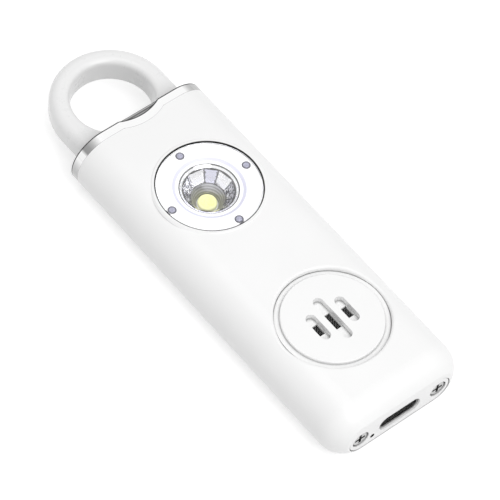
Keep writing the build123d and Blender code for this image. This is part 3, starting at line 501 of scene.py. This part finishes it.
def shade_line_at(tree, height, place, strength):
    """A thin line of painted shade round the reflector at a height."""
    return map_range(tree, apart(tree, height, place), *SHADE_LINE_HALF_WIDTHS, strength, 0.0)


def faceted_reflector():
    """The plated reflector: painted reflections on its facets, bright and mottled, painted shade
    lines at its seams, and soft rings in the cone below.
    """
    material, tree, shader, coordinates = new_finish("plated reflector", Metallic=1.0)
    where = place_group(tree, round_the_lamp, coordinates)
    height = where["Height"]
    # Painted reflections: each facet's tone stands for what it mirrors, lavender, bright or dark.
    bright, lavender, dark_reflection = grey(BRIGHT), (0.74, 0.74, 0.84, 1), (0.6, 0.6, 0.63, 1)
    tones = facet_ramp(tree, where, (lavender, bright, dark_reflection, dark_reflection, bright,
                                     bright, bright, dark_reflection, dark_reflection, bright))
    reflection_mottle = facet_ramp(tree, where, [grey(share) for share in
                                        (0, 0, 1, 1, 0.3, 0, 0.3, 1, 1, 0)])
    # Painted reflection: dark and bright specks mottle some facets.
    speckle = noise(tree, in_millimetres(tree, coordinates), 0.5, 5.0, 0.75)
    dark_reflected_specks = map_range(tree, speckle, 0.47, 0.5, 1.0, 0.0)
    bright_reflected_specks = map_range(tree, speckle, 0.56, 0.59, 0.0, 1.0)

    # Painted dark reflection along the ragged borders of the first facet.
    side = maths(tree, "MULTIPLY", apart(tree, where["Across"], 0.5), 2.0)
    wander = maths(tree, "MULTIPLY", maths(tree, "SUBTRACT", speckle, 0.5), 0.9)
    ragged = map_range(tree, maths(tree, "ADD", side, wander), 0.72, 0.8, 0.0, 0.85)
    border = maths(tree, "MULTIPLY", ragged, maths(tree, "LESS_THAN", where["Facet"], 0.5))

    # A bright lip above the mouth, and painted shade lines at the mouth, by the bore and at the
    # waist.
    lip = map_range(tree, height, MOUTH_HEIGHT, MOUTH_HEIGHT + 0.04, 0.0, 1.0)
    mouth = shade_line_at(tree, height, MOUTH_HEIGHT - 0.04, 1.0)
    rim = map_range(tree, where["Radius"], BORE_RADIUS - 0.22, BORE_RADIUS - 0.14, 0.0, 1.0)
    bowl = cover(tree, tones, (
        (maths(tree, "MULTIPLY", dark_reflected_specks, reflection_mottle), grey(0.13, (1, 1, 1.08))),
        (maths(tree, "MULTIPLY", bright_reflected_specks, reflection_mottle), bright),
        (border, grey(0.16)), (lip, bright), (mouth, grey(0.12)), (rim, grey(0.15))))

    rings = maths(tree, "SINE", maths(tree, "MULTIPLY", height, 14.0))
    cone = mix_colours(tree, map_range(tree, rings, -1.0, 1.0, 0.0, 1.0),
                       grey(0.3, (1, 1, 1.03)), grey(0.56, (1, 1, 1.03)))
    above = map_range(tree, height, WAIST_HEIGHT - 0.02, WAIST_HEIGHT + 0.02, 0.0, 1.0)
    waist = shade_line_at(tree, height, WAIST_HEIGHT, 0.9)
    join(tree, cover(tree, cone, ((above, bowl), (waist, grey(0.12)))),
         shader.inputs["Base Color"])
    join(tree, map_range(tree, above, 0.0, 1.0, 0.3, 0.08), shader.inputs["Roughness"])

    lean = map_range(tree, height, BOWL_MIDDLE_HEIGHT, MOUTH_HEIGHT, 0.0, -0.3)
    ripple = maths(tree, "MULTIPLY", maths(tree, "MULTIPLY", speckle, reflection_mottle), 0.12)
    add_bump(tree, shader, maths(tree, "ADD", lean, ripple), 1.0)
    return material


def lamp_plate():
    """The white plate round the lamp, with a painted cool shade where it steps down."""
    material, tree, shader, coordinates = new_finish("white lamp plate")
    radius = place_group(tree, round_the_lamp, coordinates)["Radius"]
    skin = place_group(tree, moulded_skin, coordinates, {
        "Colour": grey(0.96), "Second Colour": grey(0.95), "Smooth": 0.35, "Rough": 0.45})
    low, high = LAMP_STEP_RADII
    # Painted shade: a cool tint on the band where the plate steps down.
    inside = map_range(tree, radius, low - 0.05, low + 0.05, 0.0, 1.0)
    outside = map_range(tree, radius, high - 0.1, high + 0.1, 1.0, 0.0)
    step = maths(tree, "MULTIPLY", inside, outside)
    tone = mix_colours(tree, step, skin["Colour"], (0.64, 0.64, 0.74, 1))
    put_on(tree, shader, skin, tone, FINE_DEPTH)
    return material


def end_plate():
    """The white end plate, with painted shade down inside its pinhole and its openings."""
    material, tree, shader, coordinates = new_finish("white end plate plastic")
    skin = place_group(tree, moulded_skin, coordinates, {
        "Colour": grey(WHITE), "Second Colour": grey(0.92), "Smooth": 0.32, "Rough": 0.42})
    x, _, z = axes(tree, in_millimetres(tree, coordinates, centre=PINHOLE_PLACE))
    # Painted shade: the inside of the pinhole is painted near black.
    pinhole_shade = map_range(tree, distance(tree, x, z), PINHOLE_RADIUS, PINHOLE_RADIUS + 0.06, 1.0, 0.0)
    shaded = shade_gaps(tree, skin["Colour"], grey(0.03), reach=0.5, most=1.0)
    put_on(tree, shader, skin, mix_colours(tree, pinhole_shade, shaded, grey(0.02)), FINE_DEPTH)
    return material


def stake_heads():
    """The grey pins in the plate: a dark rim round a paler, cool middle."""
    material, tree, shader, coordinates = new_finish("grey stake plastic", Roughness=0.35)
    from_stake = place_group(tree, round_the_lamp, coordinates)["From Stake"]
    mottle = noise(tree, in_millimetres(tree, coordinates), 0.4)
    middle = mix_colours(tree, map_range(tree, mottle, 0.4, 0.6, 0.0, 1.0),
                         (0.28, 0.28, 0.36, 1), (0.42, 0.42, 0.52, 1))
    rim = map_range(tree, from_stake, *STAKE_RIM_RADII, 0.0, 1.0)
    join(tree, mix_colours(tree, rim, middle, (0.07, 0.07, 0.09, 1)), shader.inputs["Base Color"])
    add_bump(tree, shader, mottle, 0.01)
    return material


def grey_cap():
    """The grey cap that shows in the trim's dip, with the fine lines of its stepped front."""
    material, tree, shader, coordinates = new_finish("grey top cap plastic")
    skin = place_group(tree, moulded_skin, coordinates, {
        "Colour": grey(0.15), "Second Colour": grey(0.13), "Smooth": 0.35, "Rough": 0.5})
    y = axes(tree, in_millimetres(tree, coordinates))["Y"]
    wave = maths(tree, "SINE", maths(tree, "MULTIPLY", y, 12.0))
    lines = map_range(tree, wave, 0.1, 0.6, 0.0, 1.0)
    put_on(tree, shader, skin, mix_colours(tree, lines, skin["Colour"], grey(0.45)), 0.004)
    return material


def phosphor():
    """The yellow phosphor, paler towards its rim, with a faint grain."""
    material, tree, shader, coordinates = new_finish("yellow phosphor", Roughness=0.5)
    radius = place_group(tree, round_the_lamp, coordinates)["Radius"]
    skin = place_group(tree, moulded_skin, coordinates, {
        "Colour": (0.93, 0.93, 0.33, 1), "Second Colour": (0.93, 0.93, 0.42, 1),
        "Patch Size": 0.5})
    edge = map_range(tree, radius, *PHOSPHOR_RIM_RADII, 0.0, 0.8)
    join(tree, mix_colours(tree, edge, skin["Colour"], (0.95, 0.95, 0.6, 1)),
         shader.inputs["Base Color"])
    add_bump(tree, shader, skin["Height"], 0.01)
    return material


# Painted shade in gaps, slots, recesses and corners for each finish: its dark colour, reach,
# strength and openness.
PAINTED_GAP_SHADE = {"dark": grey(0.16), "reach": 0.6, "most": 0.85}
BUTTON_SHADE = {"dark": grey(0.06), "reach": 0.7, "most": 0.95, "wide": 0.82}
SCREW_SHADE = {"dark": grey(0.005), "reach": 0.5, "most": 1.0, "wide": 0.9}
SOCKET_SHADE = {"dark": grey(0.05), "reach": 0.8, "most": 0.8}
finishes = {
    "sleeve_white": moulded("white sleeve plastic", grey(WHITE), grey(0.915), 0.3, 0.4, gaps=PAINTED_GAP_SHADE,
                            Coat_Weight=0.15, Coat_Roughness=0.2),
    "ring_white": moulded("white ring plastic", grey(0.87), grey(0.865), 0.27, 0.29, gaps=PAINTED_GAP_SHADE,
                          grain=0.25, depth=0.001, marks=0.05, Coat_Weight=0.3,
                          Coat_Roughness=0.2),
    "plate_white": end_plate(),
    "button_white": moulded("white button plastic", grey(WHITE), grey(0.92), 0.32, 0.42,
                            gaps=BUTTON_SHADE),
    "lamp_white": lamp_plate(),
    "cap_grey": grey_cap(),
    "chassis_grey": moulded("grey chassis plastic", grey(0.35), grey(0.32), 0.45, 0.6),
    "stake_grey": stake_heads(),
    "seal_dark": moulded("dark seal rubber", grey(0.015), grey(0.01), 0.55, 0.7,
                         Specular_IOR_Level=0.2),
    "silicone_grey": moulded("grey silicone", grey(0.3), grey(0.27), 0.5, 0.65),
    "foam_black": moulded("black foam", grey(0.03), grey(0.02), 0.85, 0.95, grain=0.3, depth=0.05),
    "chip_black": moulded("black moulding compound", grey(0.03), grey(0.025), 0.45, 0.6,
                          depth=0.006),
    "tongue_black": moulded("black tongue plastic", grey(0.02), grey(0.015), 0.35, 0.5),
    "mesh_black": metal("blackened mesh wire", grey(0.12), grey(0.02), 0.2, 0.35, width=0.3),
    "emitter_white": moulded("white emitter ceramic", grey(0.85), grey(0.8), 0.4, 0.5),
    "ceramic_white": moulded("white disc ceramic", grey(0.75), grey(0.7), 0.5, 0.6),
    "board_green": moulded("green board lacquer", (0.02, 0.14, 0.05, 1), (0.02, 0.11, 0.04, 1),
                           0.2, 0.35, grain=0.4, depth=0.01),
    "flex_amber": moulded("amber flexible print", (0.55, 0.25, 0.05, 1), (0.5, 0.22, 0.04, 1),
                          0.25, 0.4),
    "wire_red": moulded("red wire sleeve", (0.55, 0.03, 0.02, 1), (0.5, 0.03, 0.02, 1), 0.4, 0.5),
    "battery_foil": metal("silver cell foil", grey(0.7), grey(0.6), 0.3, 0.45, width=0.6),
    "screw_steel": metal("screw steel", grey(0.5), grey(0.38), 0.18, 0.35, gaps=SCREW_SHADE),
    "socket_steel": metal("socket steel", grey(0.5), grey(0.4), 0.2, 0.35, gaps=SOCKET_SHADE),
    "disc_brass": metal("disc brass", (0.75, 0.55, 0.25, 1), (0.65, 0.46, 0.2, 1), 0.2, 0.35),
    "window_clear": clear("clear lamp window", (0.99, 0.99, 1.0, 1), 1.45),
    "light_pipe_clear": clear("smoky light pipe", (0.25, 0.26, 0.28, 1), 1.49, 0.1),
    "trim_chrome": chrome_trim(),
    "reflector_metal": faceted_reflector(),
    "phosphor_yellow": phosphor(),
}
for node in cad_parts.values():
    slot = node.material_slots[0]
    slot.material = finishes[slot.material.name]


# Pieces that the alarm's solids leave out, or give more plainly


def fresh_mesh(name):
    """The primitive just added, named, with its place and size put into its mesh."""
    piece = bpy.context.object
    piece.name = name
    bpy.ops.object.transform_apply(location=True, rotation=True, scale=True)
    return piece


def pick(piece, kind, test):
    """Only those vertices or edges selected whose middle and corners pass the test.

    The piece is left in edit mode.
    """
    bpy.ops.object.mode_set(mode="EDIT")
    bpy.ops.mesh.select_mode(type=kind)
    bpy.ops.mesh.select_all(action="DESELECT")
    bpy.ops.object.mode_set(mode="OBJECT")
    points = piece.data.vertices
    for part in points if kind == "VERT" else piece.data.edges:
        places = [part.index] if kind == "VERT" else part.vertices
        corners = [points[place].co / MM for place in places]
        part.select = test(sum(corners, Vector()) / len(corners), corners)
    bpy.ops.object.mode_set(mode="EDIT")


def leave_edit():
    """Nothing selected, and back to object mode."""
    bpy.ops.mesh.select_all(action="DESELECT")
    bpy.ops.object.mode_set(mode="OBJECT")


def copy_to(piece, shift):
    """A copy of a piece with its own mesh, moved by a shift in millimetres."""
    bpy.ops.object.select_all(action="DESELECT")
    piece.select_set(True)
    bpy.context.view_layer.objects.active = piece
    bpy.ops.object.duplicate()
    bpy.ops.transform.translate(value=Vector(shift) * MM)
    return bpy.context.object


def join_pieces(pieces, name):
    """Several pieces made one, with its place in its mesh."""
    bpy.ops.object.select_all(action="DESELECT")
    for piece in pieces:
        piece.select_set(True)
    bpy.context.view_layer.objects.active = pieces[0]
    bpy.ops.object.join()
    return fresh_mesh(name)


def finish_piece(piece, slot, body, stands_for=()):
    """The record's slot, its finish and the body that a new piece rides on."""
    piece.data.materials.clear()
    piece.data.materials.append(finishes[slot])
    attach(piece, body)
    if stands_for:
        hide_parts(*stands_for)
    bpy.ops.object.select_all(action="DESELECT")


def corners_of(node):
    """The low and the high corner of a node's box, in millimetres."""
    return [Vector(corner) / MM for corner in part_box(node)]


def socket_contacts():
    """Plated contacts on both sides of the socket's tongue, each with a sloped nose."""
    low, high = corners_of("usb_socket_tongue")
    front = low.y + CONTACT_SETBACK
    pieces = []
    for face_z, outward in ((high.z, 1), (low.z, -1)):
        centre = (-(CONTACT_COUNT - 1) / 2 * CONTACT_PITCH, front + CONTACT_LENGTH / 2, face_z)
        size = (CONTACT_WIDTH, CONTACT_LENGTH, 2 * CONTACT_RISE)
        bpy.ops.mesh.primitive_cube_add(size=1, location=Vector(centre) * MM,
                                        scale=Vector(size) * MM)
        contact = fresh_mesh("contact")
        outer_z = face_z + outward * CONTACT_RISE
        pick(contact, "VERT", lambda middle, corners: middle.y < front + NEAR
             and abs(middle.z - outer_z) < NEAR)
        bpy.ops.transform.translate(value=(0, NOSE_LENGTH * MM, -outward * NOSE_DROP * MM))
        leave_edit()
        pieces += [contact] + [copy_to(contact, (CONTACT_PITCH * step, 0, 0))
                               for step in range(1, CONTACT_COUNT)]
    finish_piece(join_pieces(pieces, "socket_contacts"), "disc_brass", "alarm_body")


def wavy_strand(middle, spans):
    """One wire along X that goes over and under the wires across it, by turns."""
    bpy.ops.mesh.primitive_cylinder_add(
        vertices=WIRE_SIDES, radius=WIRE_WIDTH / 2 * MM, depth=2 * spans * WIRE_PITCH * MM,
        location=middle * MM, rotation=(0, math.radians(90), 0))
    strand = fresh_mesh("strand")
    pick(strand, "EDGE", lambda centre, ends: abs(ends[0].x - ends[1].x) > WIRE_PITCH)
    bpy.ops.mesh.subdivide(number_cuts=4 * spans - 1)
    leave_edit()
    for phase, shift in ((1, WIRE_SWING), (0, -WIRE_SWING)):
        pick(strand, "VERT", lambda centre, corners:
             abs((centre.x / WIRE_PITCH + phase) % 2 - 1) < NEAR)
        bpy.ops.transform.translate(value=(0, 0, shift * MM))
        leave_edit()
    return strand


def woven_dust_mesh():
    """The dust mesh behind the sound holes: fine wires over and under each other, cut round."""
    low, high = corners_of("dust_mesh")
    radius = (high.x - low.x) / 2
    count = math.ceil(radius / WIRE_PITCH) + 1
    middle = Vector((*BUTTON_CENTRE, high.z - WIRE_WIDTH / 2 - WIRE_SWING))
    strand = wavy_strand(middle, count + 1)
    rows = range(-count, count + 1)
    across = [copy_to(strand, (WIRE_PITCH * (row % 2), WIRE_PITCH * row, 0))
              for row in rows if row]
    along = []
    for row in rows:
        along.append(copy_to(strand, (0, 0, 0)))
        bpy.ops.transform.rotate(value=math.radians(90), orient_axis="Z",
                                 center_override=middle * MM)
        shift = Vector((WIRE_PITCH * row, WIRE_PITCH * ((row + 1) % 2), 0))
        bpy.ops.transform.translate(value=shift * MM)
    mesh_piece = join_pieces([strand] + across + along, "woven_dust_mesh")
    for step in range(RIM_CUTS):
        turn = math.radians(360 / RIM_CUTS * step)
        outward = Vector((math.cos(turn), math.sin(turn), 0))
        bpy.ops.object.mode_set(mode="EDIT")
        bpy.ops.mesh.select_all(action="SELECT")
        bpy.ops.mesh.bisect(plane_co=(middle + outward * radius) * MM, plane_no=outward,
                            clear_outer=True, use_fill=True)
        leave_edit()
    finish_piece(mesh_piece, "mesh_black", "button", ["dust_mesh"])


def round_seal(name, node, wall, top, rounding):
    """A ring that fills a node's place, with its four rims rounded, up to a height of its own."""
    low, high = corners_of(node)
    centre = Vector(((high.x + low.x) / 2, (high.y + low.y) / 2, (top + low.z) / 2))
    bpy.ops.mesh.primitive_cylinder_add(
        vertices=RING_SIDES, radius=(high.x - low.x) / 2 * MM, depth=(top - low.z) * MM,
        location=centre * MM, end_fill_type="NOTHING")
    ring = fresh_mesh(name)
    bpy.ops.object.modifier_add(type="SOLIDIFY")
    thickness = ring.modifiers[-1]
    thickness.thickness = wall * MM
    thickness.offset = -1
    bpy.ops.object.modifier_apply(modifier=thickness.name)
    pick(ring, "EDGE", lambda middle, ends: abs(ends[0].z - ends[1].z) < NEAR
         and abs((ends[0].xy - centre.xy).length - (ends[1].xy - centre.xy).length) < NEAR)
    bpy.ops.mesh.bevel(offset=rounding * MM, segments=3)
    leave_edit()
    bpy.ops.object.shade_smooth_by_angle(angle=math.radians(40))
    return ring


def window_seal():
    """The dark seal round the window, whose rounded lip stands up to the sleeve's face."""
    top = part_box("housing_sleeve")[1][2] / MM - SEAL_SINK
    ring = round_seal("window_seal", "lamp_gasket", SEAL_WIDTH, top, SEAL_ROUNDING)
    finish_piece(ring, "seal_dark", "alarm_body", ["lamp_gasket"])


def return_ring():
    """The soft ring under the button."""
    low, high = corners_of("button_return_pad")
    ring = round_seal("return_ring", "button_return_pad", PAD_WIDTH, high.z, PAD_ROUNDING)
    finish_piece(ring, "silicone_grey", "alarm_body", ["button_return_pad"])
    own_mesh(ring)


socket_contacts()
woven_dust_mesh()
window_seal()
return_ring()


# The scene round the alarm


def seen_plainly(tree):
    """1 for what the camera, the gloss and the clear pieces see, 0 for what lights the rest."""
    kind = add_node(tree, "ShaderNodeLightPath").outputs
    seen = maths(tree, "MAXIMUM", kind["Is Camera Ray"], kind["Is Glossy Ray"])
    return maths(tree, "MAXIMUM", seen, kind["Is Transmission Ray"])


def plain_floor():
    """A pale floor that is white to the eye and keeps the shadow of the alarm."""
    bpy.ops.mesh.primitive_plane_add(size=FLOOR_SIZE * MM, location=(0, 0, 0))
    floor = bpy.context.object
    floor.name = "floor"
    material, tree, shader, _ = new_finish(
        "pale floor", Roughness=0.9, Base_Color=grey(FLOOR_GREY), Specular_IOR_Level=0.0)
    lift = add_node(tree, "ShaderNodeEmission")
    join(tree, maths(tree, "MULTIPLY", seen_plainly(tree), FLOOR_LIFT), lift.inputs["Strength"])
    both = add_node(tree, "ShaderNodeAddShader")
    join(tree, shader.outputs[0], both.inputs[0])
    join(tree, lift.outputs[0], both.inputs[1])
    join(tree, both.outputs[0], tree.nodes["Material Output"].inputs["Surface"])
    floor.data.materials.append(material)


def studio_world():
    """A plain world: white to the eye and to gloss, softer as a light."""
    world = bpy.data.worlds.new("studio")
    bpy.context.scene.world = world
    world.use_nodes = True
    tree = world.node_tree
    background = tree.nodes["Background"]
    background.inputs["Color"].default_value = (1, 1, 1, 1)
    join(tree, map_range(tree, seen_plainly(tree), 0.0, 1.0, WORLD_LEVEL, 1.0),
         background.inputs["Strength"])


def soft_lamp(name, place, size, power):
    """A square soft lamp that faces the alarm."""
    bpy.ops.object.light_add(type="AREA", location=Vector(place) * MM)
    lamp = bpy.context.object
    lamp.name = name
    lamp.rotation_mode = "QUATERNION"
    lamp.rotation_quaternion = (-lamp.location).to_track_quat("-Z", "Y")
    lamp.data.size = size * MM
    lamp.data.energy = power


def stand_camera():
    """The camera, where the photograph was taken from."""
    bpy.ops.object.camera_add(location=Vector(CAMERA_PLACE) * MM,
                              rotation=[math.radians(turn) for turn in CAMERA_TURN_DEGREES])
    camera = bpy.context.object
    camera.data.sensor_width = SENSOR_WIDTH
    camera.data.lens = CAMERA_LENS
    bpy.context.scene.camera = camera


plain_floor()
studio_world()
soft_lamp("key_lamp", KEY_PLACE, KEY_SIZE, KEY_POWER)
soft_lamp("overhead_lamp", OVERHEAD_PLACE, OVERHEAD_SIZE, OVERHEAD_POWER)
stand_camera()
bpy.context.scene.view_settings.view_transform = "Standard"
